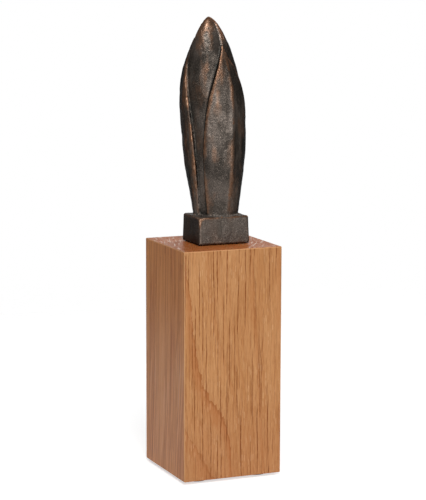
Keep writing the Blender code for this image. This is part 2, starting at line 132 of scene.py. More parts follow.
Leaf = namedtuple("Leaf", "azimuth half_angle tip_height twist lift")
LEAVES = (
    Leaf(azimuth=-80, half_angle=62, tip_height=109 * MM, twist=6, lift=3.6 * MM),
    Leaf(azimuth=152, half_angle=55, tip_height=114 * MM, twist=6, lift=3.1 * MM),
    Leaf(azimuth=42, half_angle=62, tip_height=104 * MM, twist=6, lift=2.7 * MM),
)
LEAF_ROOT_DEPTH = 2.2 * MM  # how far a leaf's inner side lies inside the bud
LEAF_LIP_WIDTH = 1.0 * MM  # of the rounding along its edges
LEAF_VEINS = 9

# Shares of a leaf's full width, or of half of it for the midrib.
LEAF_ROOT_NARROWING = 0.14
LEAF_TIP_WIDTH = 0.05
LEAF_MIDRIB_REACH = 0.11

# Shares of a leaf's lift.
LEAF_ROOT_LIFT = 0.6  # what it has at the foot
LEAF_KEEL = 0.42  # height of the broad ridge down its middle
LEAF_MIDRIB = 0.22  # height of the narrow rib on that ridge
LEAF_TIP_DROP = 0.5  # how far it sinks back into the bud at its tip
LEAF_LIP_DROP = 0.35  # how far its edges are rounded down
LEAF_VEIN_DEPTH = 0.012  # of the faint flutes along it

# ---------------------------------------------------------------- the casting's skin
CASTING_VOXEL = 0.475 * MM
SOFTENING_PASSES = 5
JOINT_PASSES = 8
FINE_PASSES, BROAD_PASSES = 8, 60  # they smooth away the fine relief, and then the broad one
SOFTENING, JOINT_SOFTENING = 0.5, 0.6  # how far towards its neighbours a point moves in one pass
JOINT_REACH = 1.6 * MM  # up and down from the foot's top, where the bud runs into it
JOINT_OUTSET = 2 * MM  # how far outside the bud's base the leaves stand there
JOINT_WIDTH = 0.13  # across the foot, as a share of half the bud's base
HANDLED_REACH = 4.0 * MM  # round the foot's front left corner, which hands have rubbed bright
WORN_EDGE_DEPTH, WORN_EDGE_REACH = 0.4 * MM, 0.5 * MM  # of the foot's rounded edge below its top
DUST_REACH = 0.9 * MM  # up and down from the foot's top
FADE_FROM, FADE_TO = 0.3 * MM, 1.8 * MM  # from the foot's top, where marks of the foot or the bud fade in


# ================================================================ shader tools
class Shading:
    """Short calls that add nodes to a shader tree. Patterns are sized in millimetres."""

    def __init__(self, tree):
        self.tree = tree

    def feed(self, socket, value):
        if isinstance(value, bpy.types.NodeSocket):
            self.tree.links.new(value, socket)
        else:
            socket.default_value = value

    def node(self, kind, inputs=(), **settings):
        made = self.tree.nodes.new("ShaderNode" + kind)
        for key, value in settings.items():
            setattr(made, key, value)
        for key, value in dict(inputs).items():
            self.feed(made.inputs[key], value)
        return made

    def math(self, operation, *values, clamp=False):
        return self.node("Math", enumerate(values), operation=operation, use_clamp=clamp).outputs[0]

    def plus(self, first, second):
        return self.math("ADD", first, second)

    def minus(self, first, second):
        return self.math("SUBTRACT", first, second)

    def times(self, first, second):
        return self.math("MULTIPLY", first, second)

    def over(self, first, second):
        return self.math("DIVIDE", first, second)

    def larger(self, first, second):
        return self.math("MAXIMUM", first, second)

    def smaller(self, first, second):
        return self.math("MINIMUM", first, second)

    def between(self, first, second, share):
        """first where share is 0, and second where it is 1."""
        return self.math("MULTIPLY_ADD", self.minus(second, first), share, first)

    def span(self, value, low, high, to_low=0.0, to_high=1.0, smooth=True):
        """Maps low..high to to_low..to_high, and holds the ends."""
        kind = "SMOOTHSTEP" if smooth else "LINEAR"
        inputs = enumerate((value, low, high, to_low, to_high))
        return self.node("MapRange", inputs, interpolation_type=kind).outputs[0]

    def vector(self, operation, *values):
        return self.node("VectorMath", enumerate(values), operation=operation).outputs[0]

    def length(self, vector):
        return self.node("VectorMath", {0: vector}, operation="LENGTH").outputs["Value"]

    def dot(self, first, second):
        return self.node("VectorMath", {0: first, 1: second}, operation="DOT_PRODUCT").outputs["Value"]

    def split(self, vector):
        return self.node("SeparateXYZ", {0: vector}).outputs

    def join(self, x, y, z):
        return self.node("CombineXYZ", {0: x, 1: y, 2: z}).outputs[0]

    def mix(self, first, share, second, mode="MIX"):
        """Lays the second colour over the first, as much as share says."""
        inputs = {0: share, 6: first, 7: second}
        return self.node("Mix", inputs, data_type="RGBA", blend_type=mode).outputs[2]

    def paint(self, ground, *layers):
        """Lays colours over the ground one after another. A layer is a share and a colour."""
        for share, colour in layers:
            ground = self.mix(ground, share, colour)
        return ground

    def noise(self, place, scale=1.0, detail=2.0, roughness=0.5, output="Fac"):
        inputs = {"Vector": place, "Scale": scale, "Detail": detail, "Roughness": roughness}
        return self.node("TexNoise", inputs).outputs[output]

    def cells(self, place, **settings):
        """Outputs of a cell pattern whose cells are about 1 across."""
        return self.node("TexVoronoi", {"Vector": place, "Scale": 1.0}, **settings).outputs

    def random(self, number):
        return self.node("TexWhiteNoise", {"W": number}, noise_dimensions="1D").outputs["Value"]

    def stretch(self, place, x, y, z):
        """Divides a place by the size of a pattern along each axis."""
        return self.vector("MULTIPLY", place, (1 / x, 1 / y, 1 / z))

    def millimetres(self, origin=(0, 0, 0)):
        """The place on the object, in millimetres from an origin given in metres."""
        coordinates = self.node("TexCoord").outputs["Object"]
        return self.vector("MULTIPLY", self.vector("SUBTRACT", coordinates, origin), (1000, 1000, 1000))

    def normal(self):
        return self.node("TexCoord").outputs["Normal"]

    def facing_up(self):
        """1 where the surface is level, 0 where it is upright."""
        return self.span(self.math("ABSOLUTE", self.split(self.normal())[2]), 0.6, 0.9)

    def attribute(self, name):
        return self.node("Attribute", attribute_name=name).outputs["Fac"]

    def bump(self, height, distance):
        return self.node("Bump", {"Height": height, "Distance": distance}).outputs[0]


class Surface(Shading):
    """A Principled material."""

    def __init__(self, name, settings=()):
        self.material = bpy.data.materials.new(name)
        self.material.use_nodes = True
        super().__init__(self.material.node_tree)
        self.set(settings)

    def set(self, settings):
        shader = self.tree.nodes["Principled BSDF"]
        for key, value in dict(settings).items():
            self.feed(shader.inputs[key], value)

    def finish(self, colour, roughness, normal):
        self.set({"Base Color": colour, "Roughness": roughness, "Normal": normal})
        return self.material


# ================================================================ oak
# Lengths here are in millimetres, and places are from the middle of the block's base.
PITH = (-101.0, -233.0, 0.0)  # the tree's middle
RING_SPACING = 2.6
RING_START = -0.15
RING_LEAN = 0.026  # how far the rings stand over for each unit of height
RING_UNEVENNESS = 1.2  # in rings
RAGGED_ON_SIDES, RAGGED_ON_TOP = 0.28, 0.08  # in rings
SWAY = 2.4
FINE_SWAY_ON_SIDES, FINE_SWAY_ON_TOP = 0.7, 0.2
NotableRing = namedtuple("NotableRing", "number strength")
NOTABLE_RINGS = (
    NotableRing(number=80, strength=0.6),
    NotableRing(number=82, strength=1.0),
    NotableRing(number=89, strength=0.55),
    NotableRing(number=93, strength=0.4),
    NotableRing(number=97, strength=0.6),
    NotableRing(number=101, strength=0.5),
)
Swell = namedtuple("Swell", "place reach depth")  # where the rings stand out from the pith
SWELLS = (
    Swell(place=(-4, -34, 0), reach=(13.5, 28, 50), depth=9.0),
    Swell(place=(-44, 0, 0), reach=(18, 90, 22), depth=3.5),
)
RAY_FAN = 254.0  # the pith's distance from the block's middle, which turns an angle round it into a width
VESSEL_SPREAD = 22.0  # how far the unevenness of the rings moves the long vessels
VESSEL_SHIFT, FLECK_SHIFT = 17.0, 41.0  # they keep two patterns of a kind from falling together
EASED_FROM, EASED_TO = 0.3, 0.9  # distance from an edge where its painted highlight is full, and where it ends
OIL_ROUGHNESS = 0.40
RAY_ROUGHNESS = 0.13

WOOD_LIGHT, WOOD_DEEP = (0.560, 0.277, 0.113, 1), (0.510, 0.240, 0.091, 1)
THREAD_PALE, THREAD_DARK = (0.66, 0.375, 0.18, 1), (0.34, 0.110, 0.029, 1)
FIBRE_DARK = (0.34, 0.114, 0.032, 1)
EARLY_WOOD, LATE_WOOD, RING_EDGE = (0.31, 0.105, 0.032, 1), (0.40, 0.125, 0.034, 1), (0.27, 0.075, 0.018, 1)
GROUP_PALE, GROUP_DARK = (0.60, 0.30, 0.13, 1), (0.36, 0.115, 0.030, 1)
PORE, VESSEL = (0.23, 0.076, 0.022, 1), (0.29, 0.082, 0.018, 1)
FLECK_PALE, FLECK_DARK = (0.74, 0.46, 0.25, 1), (0.25, 0.078, 0.020, 1)
RAY_END = (0.20, 0.053, 0.011, 1)
LINE_PALE, LINE_DARK = (0.66, 0.40, 0.24, 1), (0.35, 0.122, 0.038, 1)
# The radial sides are tinted paler than the cut faces, and greyer low down, where the tint is a painted
# reflection of the floor.
RADIAL_TINT_WITH_FLOOR_REFLECTION, RADIAL_TINT_HIGH = (1.26, 1.14, 1.08, 1), (1.22, 1.01, 0.70, 1)
LOW_TINT = (0.91, 0.865, 0.86, 1)
END_EARLY, END_LATE = (0.49, 0.150, 0.035, 1), (0.41, 0.116, 0.026, 1)
END_MOTTLE, END_PORE, END_RAY = (0.33, 0.075, 0.013, 1), (0.12, 0.028, 0.006, 1), (0.60, 0.27, 0.11, 1)
# A painted highlight, laid along the block's edges.
EDGE_HIGHLIGHT_WOOD = (0.70, 0.40, 0.20, 1)

Growth = namedtuple("Growth", "outward depth uneven phase number")
Cuts = namedtuple("Cuts", "pores ray_ends vessels pale_flecks dark_flecks along cut_across along_rays")


def near_block_edge(oak, place, size):
    """1 on the block's rounded upright edges and top edges, 0 away from them. A highlight is painted there.
    """
    half_width, half_depth, height = size.x / 2 / MM, size.y / 2 / MM, size.z / MM
    x, y, z = oak.split(oak.vector("ABSOLUTE", place))
    from_side = oak.minus(half_width, x)
    from_front = oak.minus(half_depth, y)
    from_top = oak.minus(height, z)
    at_corner = oak.larger(from_side, from_front)
    at_rim = oak.larger(oak.smaller(from_side, from_front), from_top)
    return oak.span(oak.smaller(at_corner, at_rim), EASED_FROM, EASED_TO, 1.0, 0.0)


def wavering(oak, place, end_grain):
    """The place, moved sideways a little, so that upright fibres waver."""
    middle = (0.5, 0.5, 0.5)
    sway = oak.noise(oak.stretch(place, 20, 20, 60), detail=1, output="Color")
    fine_sway = oak.noise(oak.stretch(place, 5, 5, 9), detail=1, output="Color")
    amount = oak.span(end_grain, 0, 1, FINE_SWAY_ON_SIDES, FINE_SWAY_ON_TOP)
    sway = oak.vector("MULTIPLY", oak.vector("SUBTRACT", sway, middle), (SWAY, SWAY, 0.0))
    fine_sway = oak.vector("SUBTRACT", fine_sway, middle)
    fine_sway = oak.vector("MULTIPLY", fine_sway, oak.join(amount, amount, 0.0))
    return oak.vector("ADD", oak.vector("ADD", place, sway), fine_sway)


def growth_rings(oak, place, z, end_grain):
    """Rings about a far pith, pushed aside by swellings low on the front and on the left."""
    outward = oak.vector("MULTIPLY", oak.vector("SUBTRACT", place, PITH), (1, 1, 0))
    depth = oak.plus(oak.length(outward), oak.times(z, RING_LEAN))
    for swell in SWELLS:
        offset = oak.vector("DIVIDE", oak.vector("SUBTRACT", place, swell.place), swell.reach)
        near = oak.math("EXPONENT", oak.times(oak.dot(offset, offset), -0.5))
        depth = oak.math("MULTIPLY_ADD", near, -swell.depth, depth)
    uneven = oak.noise(oak.join(oak.over(depth, 9), 0, oak.over(z, 200)), detail=1)
    start = oak.math("MULTIPLY_ADD", uneven, RING_UNEVENNESS, RING_START)
    count = oak.math("MULTIPLY_ADD", depth, 1 / RING_SPACING, start)
    ragged = oak.minus(oak.noise(oak.stretch(place, 1.3, 1.3, 4), detail=1), 0.5)
    amount = oak.span(end_grain, 0, 1, RAGGED_ON_SIDES, RAGGED_ON_TOP)
    count = oak.plus(count, oak.times(ragged, amount))
    return Growth(outward, depth, uneven, oak.math("FRACT", count), oak.math("FLOOR", count))


def ring_strength(oak, number):
    """How clearly a ring's late wood shows: weak and uneven, but for the notable rings."""
    strength = oak.span(oak.random(number), 0.2, 1.0, 0.0, 0.40, smooth=False)
    for ring in NOTABLE_RINGS:
        here = oak.math("COMPARE", number, ring.number, 0.5)
        strength = oak.larger(strength, oak.times(here, ring.strength))
    return strength


def streaks(oak, across, z, width, height, share, thickness, full=0.5):
    """Thin upright streaks, one to a cell of width by height, in as many cells as share says."""
    here = oak.join(oak.over(across, width), oak.over(z, height), 0.0)
    cell = oak.cells(here, voronoi_dimensions="2D")
    kept = oak.span(oak.split(cell["Color"])[0], share * full, share, 1.0, 0.0, smooth=False)
    offset = oak.split(oak.vector("ABSOLUTE", oak.vector("SUBTRACT", here, cell["Position"])))
    half = thickness / width / 2
    line = oak.span(offset[0], half * 0.5, half * 1.5, 1.0, 0.0)

    # A streak fades towards its ends, and at the border of its cell, which would cut it off.
    line = oak.times(line, oak.span(offset[1], 0.28, 0.45, 1.0, 0.0))
    rim = oak.cells(here, voronoi_dimensions="2D", feature="DISTANCE_TO_EDGE")["Distance"]
    line = oak.times(line, oak.span(rim, 0.0, 0.10))
    return oak.times(kept, line)


def cut_cells(oak, place, z, growth, early):
    """What the saw cut open: pores, the ends of rays, vessels cut along, and flecks."""
    cell = oak.cells(oak.stretch(place, 0.6, 0.6, 11))
    kept = oak.math("LESS_THAN", oak.split(cell["Color"])[0], oak.span(early, 0, 1, 0.10, 0.85))
    pores = oak.times(kept, oak.span(cell["Distance"], 0.15, 0.48, 1.0, 0.0))

    # Rays are thin upright sheets that run out from the pith. Faces across them show their dark ends.
    outward = oak.split(growth.outward)
    along = oak.times(oak.math("ARCTAN2", outward[0], outward[1]), RAY_FAN)
    facing = oak.dot(oak.vector("NORMALIZE", growth.outward), oak.normal())
    cut_across = oak.span(oak.math("ABSOLUTE", facing), 0.35, 0.9)
    along_rays = oak.minus(1.0, cut_across)
    long_rays = streaks(oak, along, z, width=2.6, height=62, share=0.78, thickness=0.55, full=0.45)
    short_rays = streaks(oak, along, z, width=1.9, height=26, share=0.55, thickness=0.42)
    broken = oak.span(oak.noise(oak.stretch(place, 1.6, 1.6, 4), detail=1), 0.3, 0.6, 0.50, 1.0)
    rays = oak.times(oak.larger(long_rays, oak.times(short_rays, 0.42)), broken)

    # Faces along the rays show long vessels, unevenly spaced.
    spread = oak.math("MULTIPLY_ADD", growth.uneven, VESSEL_SPREAD, growth.depth)
    shifted = oak.plus(spread, VESSEL_SHIFT)
    long_vessels = streaks(oak, spread, z, width=5.2, height=85, share=0.72, thickness=1.3)
    short_vessels = streaks(oak, shifted, z, width=5.6, height=17, share=0.45, thickness=1.2)
    vessels = oak.larger(long_vessels, oak.times(short_vessels, 0.6))

    in_places = oak.span(oak.noise(oak.stretch(place, 6, 6, 20), detail=1), 0.42, 0.62)
    pale_flecks = streaks(oak, along, z, width=1.4, height=5.5, share=0.45, thickness=0.5)
    aside = oak.plus(along, FLECK_SHIFT)
    dark_flecks = streaks(oak, aside, z, width=1.6, height=6.5, share=0.35, thickness=0.45)
    return Cuts(
        pores=pores,
        ray_ends=oak.times(rays, cut_across),
        vessels=oak.times(vessels, along_rays),
        pale_flecks=oak.times(pale_flecks, oak.times(in_places, cut_across)),
        dark_flecks=oak.times(dark_flecks, cut_across),
        along=along,
        cut_across=cut_across,
        along_rays=along_rays,
    )


def upright_grain(oak, place, z, growth, cuts, early, fibre):
    """Colour of the block's four upright sides."""
    tone = oak.random(oak.plus(growth.number, 0.5))
    strength = ring_strength(oak, growth.number)
    late = oak.times(oak.span(growth.phase, 0.15, 1.0), strength)
    edge = oak.times(oak.span(growth.phase, 0.86, 0.97), strength)
    threads = oak.noise(oak.stretch(place, 0.85, 0.85, 16), detail=3, roughness=0.6)
    patches = oak.noise(oak.stretch(place, 15, 15, 60), detail=2)
    groups = oak.noise(oak.join(oak.over(growth.depth, 2.6), 3.3, oak.over(z, 160)), detail=1)
    lines = oak.noise(oak.join(oak.over(growth.depth, 2.4), 5.1, oak.over(z, 45)), detail=2)
    banding = oak.span(cuts.along_rays, 0, 1, 0.22, 1.0, smooth=False)
    lined = oak.times(cuts.along_rays, oak.span(z, 50, 110, 1.0, 0.4))

    side = oak.paint(
        WOOD_LIGHT,
        (oak.span(patches, 0.3, 0.7), WOOD_DEEP),
        (oak.span(threads, 0.28, 0.55, 0.32, 0), THREAD_PALE),
        (oak.span(threads, 0.47, 0.70, 0, 0.26), THREAD_DARK),
        (oak.span(fibre, 0.4, 0.75, 0, 0.32), FIBRE_DARK),
        (oak.times(early, oak.times(tone, banding)), EARLY_WOOD),
        (oak.times(oak.span(groups, 0.35, 0.65, 0.6, 0), banding), GROUP_PALE),
        (oak.times(oak.span(groups, 0.45, 0.7, 0, 0.3), banding), GROUP_DARK),
        (oak.times(late, 0.55), LATE_WOOD),
        (oak.times(edge, 0.45), RING_EDGE),
        (oak.times(cuts.pores, 0.26), PORE),
        (oak.times(cuts.dark_flecks, 0.26), FLECK_DARK),
        (oak.times(cuts.pale_flecks, 0.35), FLECK_PALE),
        (cuts.ray_ends, RAY_END),
        (oak.times(cuts.vessels, 0.62), VESSEL),
        (oak.times(lined, oak.span(lines, 0.52, 0.68, 0, 0.55)), LINE_DARK),
        (oak.times(lined, oak.span(lines, 0.46, 0.32, 0, 0.45)), LINE_PALE),
    )

    # Tint of the radial sides by height: the greyer, paler tint low down is a painted reflection of the
    # floor.
    radial_tint_and_floor_reflection = oak.mix(RADIAL_TINT_WITH_FLOOR_REFLECTION, oak.span(z, 80, 125), RADIAL_TINT_HIGH)
    side = oak.mix(side, cuts.along_rays, radial_tint_and_floor_reflection, "MULTIPLY")
    low_across = oak.times(oak.span(z, 15, 70, 1.0, 0.0), cuts.cut_across)
    return oak.mix(side, low_across, LOW_TINT, "MULTIPLY")


def oak_material(base_middle, size):
    """Oiled oak, with upright grain on the block's sides and end grain on its top and base. A highlight is
    painted along its edges, and a reflection of the floor low on its radial sides.
    """
    oak = Surface("oiled_oak", {"Specular IOR Level": 0.12})
    place = oak.millimetres(base_middle)
    end_grain = oak.facing_up()
    edge_highlight = near_block_edge(oak, place, size)
    place = wavering(oak, place, end_grain)
    z = oak.split(place)[2]
    growth = growth_rings(oak, place, z, end_grain)
    early = oak.span(growth.phase, 0.0, 0.40, 1.0, 0.0)
    cuts = cut_cells(oak, place, z, growth, early)
    fibre = oak.noise(oak.stretch(place, 0.45, 0.45, 4), detail=2, roughness=0.6)
    side = upright_grain(oak, place, z, growth, cuts, early, fibre)

    # On the end grain the rays run outward as fine pale lines, which take the polish best.
    radial = oak.join(oak.over(cuts.along, 0.85), oak.over(growth.depth, 15), 7.0)
    top_rays = oak.span(oak.noise(radial, detail=1), 0.56, 0.66)
    mottle = oak.noise(oak.stretch(place, 3.5, 3.5, 3.5), detail=2)
    top = oak.paint(
        END_EARLY,
        (oak.span(growth.phase, 0.3, 1.0), END_LATE),
        (oak.span(mottle, 0.35, 0.7, 0, 0.6), END_MOTTLE),
        (oak.times(cuts.pores, 0.7), END_PORE),
        (oak.times(top_rays, 0.7), END_RAY),
    )
    # The pale line along the edges is a painted highlight.
    colour = oak.paint(side, (end_grain, top), (oak.times(edge_highlight, 0.45), EDGE_HIGHLIGHT_WOOD))

    grooves = oak.times(oak.plus(cuts.pores, oak.times(cuts.ray_ends, 0.3)), -1.0)
    relief = oak.plus(grooves, oak.times(fibre, 0.35))
    polish = oak.between(oak.span(mottle, 0.3, 0.7, 0.33, 0.43), RAY_ROUGHNESS, top_rays)
    polish = oak.between(OIL_ROUGHNESS, polish, end_grain)
    roughness = oak.math("MULTIPLY_ADD", cuts.pores, 0.12, polish)
    return oak.finish(colour, roughness, oak.bump(relief, 0.06 * MM))


# ================================================================ bronze
PATINA_DARK, PATINA_LIGHT = (0.034, 0.028, 0.023, 1), (0.098, 0.080, 0.068, 1)
PATINA_BROWN = (0.150, 0.080, 0.047, 1)
GRAIN_LIGHT, GRAIN_DARK = (0.200, 0.160, 0.130, 1), (0.021, 0.018, 0.014, 1)
RUBBED_BROWN = (0.131, 0.055, 0.024, 1)
RUBBED_COPPER, RUBBED_BRIGHT = (0.288, 0.173, 0.112, 1), (0.600, 0.390, 0.280, 1)
# Painted shade: near black, laid into the bud's broad recesses.
PAINTED_HOLLOW_SHADE = (0.016, 0.016, 0.014, 1)
DUST_DARK, DUST_LIGHT = (0.060, 0.050, 0.042, 1), (0.175, 0.150, 0.130, 1)
WAX = {"Specular Tint": (0.08, 0.07, 0.065, 1), "Coat Weight": 0.14, "Coat Roughness": 0.22}
FOOT_EVENNESS = 0.7  # how far the foot's patina is held to the two levels that follow
FOOT_CLOUD, FOOT_WARMTH = 0.61, 0.57


def bronze_material():
    """Waxed brown patina, worn to copper where hands rub it, with shade painted into its recesses. It reads
    what skin_marks writes.
    """
    bronze = Surface("patinated_bronze", WAX)
    place = bronze.millimetres()
    wear, hollow_shade, ridge = (bronze.attribute(name) for name in ("wear", "hollow_shade", "ridge"))
    on_foot, settled = bronze.attribute("on_foot"), bronze.attribute("settled")

    # The patina varies in clouds, which are weaker on the foot.
    even = bronze.times(on_foot, FOOT_EVENNESS)
    cloud = bronze.noise(bronze.stretch(place, 11, 11, 24), detail=2)
    cloud = bronze.between(cloud, FOOT_CLOUD, even)
    moved = bronze.vector("ADD", bronze.stretch(place, 7, 7, 24), (7.3, 1.9, 4.2))
    warmth = bronze.between(bronze.noise(moved, detail=2), FOOT_WARMTH, even)
    brown = bronze.plus(warmth, bronze.times(bronze.minus(ridge, 0.5), 0.22))
    grain = bronze.noise(place, scale=0.95, detail=4, roughness=0.62)
    speck = bronze.noise(place, scale=1.9, detail=2, roughness=0.6)
    peaks = bronze.plus(bronze.times(grain, 0.42), bronze.times(speck, 0.58))

    rubbed = bronze.times(wear, bronze.span(grain, 0.3, 0.6, 0.45, 1.0))
    dust = bronze.mix(DUST_DARK, bronze.span(peaks, 0.42, 0.60), DUST_LIGHT)
    colour = bronze.paint(
        PATINA_DARK,
        (bronze.span(cloud, 0.40, 0.66), PATINA_LIGHT),
        (bronze.span(brown, 0.40, 0.72, 0, 0.95), PATINA_BROWN),
        (bronze.span(peaks, 0.50, 0.68, 0, 0.48), GRAIN_LIGHT),
        (bronze.span(peaks, 0.48, 0.35, 0, 0.40), GRAIN_DARK),
        (bronze.span(rubbed, 0.05, 0.40, 0, 0.75), RUBBED_BROWN),
        (bronze.span(rubbed, 0.30, 0.90, 0, 0.90), RUBBED_COPPER),
        (bronze.span(rubbed, 0.85, 1.0, 0, 0.60), RUBBED_BRIGHT),
        # painted shade in the broad recesses
        (bronze.times(hollow_shade, 0.80), PAINTED_HOLLOW_SHADE),
        (bronze.times(settled, 0.75), dust),
    )

    roughness = bronze.math("MULTIPLY_ADD", settled, 0.28, bronze.span(peaks, 0.38, 0.62, 0.42, 0.24))
    pitted = bronze.span(bronze.noise(bronze.stretch(place, 8, 8, 12), detail=2), 0.42, 0.62, 0.45, 1.5)
    normal = bronze.bump(bronze.times(peaks, pitted), 0.20 * MM)
    bronze.set({"Metallic": bronze.math("MULTIPLY_ADD", settled, -0.65, 1.0), "Coat Normal": normal})
    return bronze.finish(colour, roughness, normal)


# ================================================================ felt, brass and steel
FELT_DARK, FELT_LIGHT = (0.016, 0.014, 0.013, 1), (0.055, 0.048, 0.044, 1)
Metal = namedtuple("Metal", "light dark")
BRASS = Metal(light=(0.78, 0.56, 0.25, 1), dark=(0.55, 0.36, 0.14, 1))
STEEL = Metal(light=(0.62, 0.61, 0.59, 1), dark=(0.46, 0.45, 0.44, 1))
TURNED_ROUGHNESS = 0.28
MILLED_ROUGHNESS = 0.3


def felt_material():
    felt = Surface("felt", {"Specular IOR Level": 0.1, "Sheen Weight": 0.35, "Sheen Roughness": 0.5})
    fibres = felt.noise(felt.millimetres(), scale=3.5, detail=4, roughness=0.7)
    colour = felt.mix(FELT_DARK, fibres, FELT_LIGHT)
    return felt.finish(colour, 0.95, felt.bump(fibres, 0.25 * MM))


def metal_material(name, metal, roughness, turned_about=None):
    """Bare metal with faint tool marks, which run round an upright axis where one is given."""
    bare = Surface(name, {"Metallic": 1.0})
    place = bare.millimetres()
    tooled = place
    if turned_about:
        middle = [1000 * value for value in turned_about]
        flat = bare.vector("MULTIPLY", bare.vector("SUBTRACT", place, middle), (1, 1, 0))
        tooled = bare.join(bare.length(flat), 0.0, bare.split(place)[2])
    marks = bare.noise(bare.stretch(tooled, 0.3, 0.3, 0.3), detail=2)
    stain = bare.noise(place, scale=0.5, detail=4, roughness=0.6)
    colour = bare.mix(metal.light, bare.span(stain, 0.35, 0.7), metal.dark)
    worn = bare.span(marks, 0.2, 0.8, roughness - 0.06, roughness + 0.1)
    return bare.finish(colour, worn, bare.bump(marks, 0.004 * MM))


# ================================================================ mesh tools
def ramp(value, low, high):
    """0 up to low, 1 from high on, and a smooth rise between them."""
    share = np.clip((value - low) / (high - low), 0.0, 1.0)
    return share * share * (3 - 2 * share)


def band(value, middle, reach):
    """1 at the middle, falling smoothly to about 0 at twice the reach on both sides."""
    return np.exp(-(((value - middle) / reach) ** 2))


def link(name, data):
    obj = bpy.data.objects.new(name, data)
    bpy.context.scene.collection.objects.link(obj)
    return obj


def mesh_from(name, bm):
    mesh = bpy.data.meshes.new(name)
    bm.to_mesh(mesh)
    bm.free()
    return mesh


def grid_faces(rows, columns, start=0, closed=False):
    """Quads between neighbouring rows of a grid whose first vertex is start."""
    faces = []
    for row in range(rows - 1):
        low, high = start + row * columns, start + (row + 1) * columns
        for i in range(columns if closed else columns - 1):
            after = (i + 1) % columns
            faces.append((low + i, low + after, high + after, high + i))
    return faces


def solid_object(name, vertices, faces, weld=0.0):
    """An object whose faces all look outward, with vertices closer than the weld distance made one."""
    mesh = bpy.data.meshes.new(name)
    mesh.from_pydata(vertices, [], faces)
    bm = bmesh.new()
    bm.from_mesh(mesh)
    bmesh.ops.recalc_face_normals(bm, faces=bm.faces)
    if weld:
        bmesh.ops.remove_doubles(bm, verts=bm.verts, dist=weld)
    bm.to_mesh(mesh)
    bm.free()
    return link(name, mesh)


def rounded_box(low, high, corner_radius, segments, taper=0.0):
    """A bmesh box with rounded upright edges, whose top is smaller by the taper on each side."""
    bm = bmesh.new()
    bmesh.ops.create_cube(bm, size=1.0)
    for vert in bm.verts:
        inset = taper if vert.co.z > 0 else 0.0
        x = high.x - inset if vert.co.x > 0 else low.x + inset
        y = high.y - inset if vert.co.y > 0 else low.y + inset
        vert.co = Vector((x, y, high.z if vert.co.z > 0 else low.z))
    upright = [edge for edge in bm.edges if edge.verts[0].co.z != edge.verts[1].co.z]
    bmesh.ops.bevel(bm, geom=upright, offset=corner_radius, segments=segments, profile=0.5, affect="EDGES")
    return bm


def evaluated_mesh(obj):
    graph = bpy.context.evaluated_depsgraph_get()
    return bpy.data.meshes.new_from_object(obj.evaluated_get(graph))


# ================================================================ bronze bud, shape
class Bud:
    """The bud under its leaves. A share is a height on it, from 0 at the foot's top to 1 at its own."""

    def __init__(self, foot_middle, top):
        self.foot_middle = foot_middle
        self.height = top - FOOT_HEIGHT - foot_middle.z

    def section(self, share):
        """Half the width and depth there, and how far the surface leans over the middle."""
        rise = np.sin(math.pi / 2 * np.clip(share / BUD_FULL_AT, 0, 1))
        closing = np.clip((share - BUD_CLOSES_AT) / (1 - BUD_CLOSES_AT), 0, 1)
        closed = (1 - closing**2) ** BUD_TOP_FULLNESS
        half_width = (BUD_BASE_WIDTH + (BUD_WIDTH - BUD_BASE_WIDTH) * rise) / 2 * closed
        half_depth = (BUD_BASE_DEPTH + (BUD_DEPTH - BUD_BASE_DEPTH) * rise) / 2 * closed
        return half_width, half_depth, math.pi / 2 * closing**BUD_TOP_TILT

    def points(self, angle, share, lift):
        """Points that stand off the bud by the lift."""
        half_width, half_depth, tilt = self.section(share)
        out, up = lift * np.cos(tilt), lift * np.sin(tilt)
        lean = np.clip(share, 0, 1) ** 2
        x = self.foot_middle.x + BUD_LEAN[0] * lean + (half_width + out) * np.cos(angle)
        y = self.foot_middle.y + BUD_LEAN[1] * lean + (half_depth + out) * np.sin(angle)
        z = self.foot_middle.z + FOOT_HEIGHT + share * self.height + up
        return np.stack(np.broadcast_arrays(x, y, z), axis=-1)

    def closeness(self, points):
        """1 over the line where the bud runs into the foot, falling to 0 away from it across the foot."""
        across = (points[:, 0] - self.foot_middle.x) / (BUD_BASE_WIDTH / 2 + JOINT_OUTSET)
        deep = (points[:, 1] - self.foot_middle.y) / (BUD_BASE_DEPTH / 2 + JOINT_OUTSET)
        return band(np.hypot(across, deep), 1, JOINT_WIDTH)


def inner_bud(bud, rows=150, columns=46):
    """The leaves that are still furled. Each stands over the next at a seam that winds up the bud."""
    low = -BUD_ROOT / bud.height
    share = low + (BUD_TOP - low) * np.sin(math.pi / 2 * np.linspace(0, 1, rows))[:, None]
    half_depth = bud.section(share)[1]
    step = np.minimum(SEAM_STEP * ramp(share, 0, SEAM_RISES_BY), SEAM_LARGEST_SHARE * half_depth)
    across = np.tile(np.linspace(0, 1, columns), INNER_LEAVES)[None, :]
    leaf = np.repeat(np.arange(INNER_LEAVES), columns)[None, :]
    turned_by = np.radians(SEAM_AZIMUTH + SEAM_TWIST * np.clip(share, 0, 1) ** 2)
    angle = turned_by + math.tau * (leaf + across) / INNER_LEAVES
    points = bud.points(angle, share, step * (1 - across))
    count = columns * INNER_LEAVES
    faces = grid_faces(rows, count, closed=True)
    faces.append(tuple(range(count)))
    faces.append(tuple(range((rows - 1) * count, rows * count)))
    return solid_object("inner_bud", points.reshape(-1, 3).tolist(), faces)


def leaf_outline(along):
    """A leaf's width from its root, where along is 0, to its tip."""
    root = 1 - LEAF_ROOT_NARROWING * (1 - along) ** 2
    return root * np.maximum((1 - along**2.9) ** 0.9, LEAF_TIP_WIDTH)


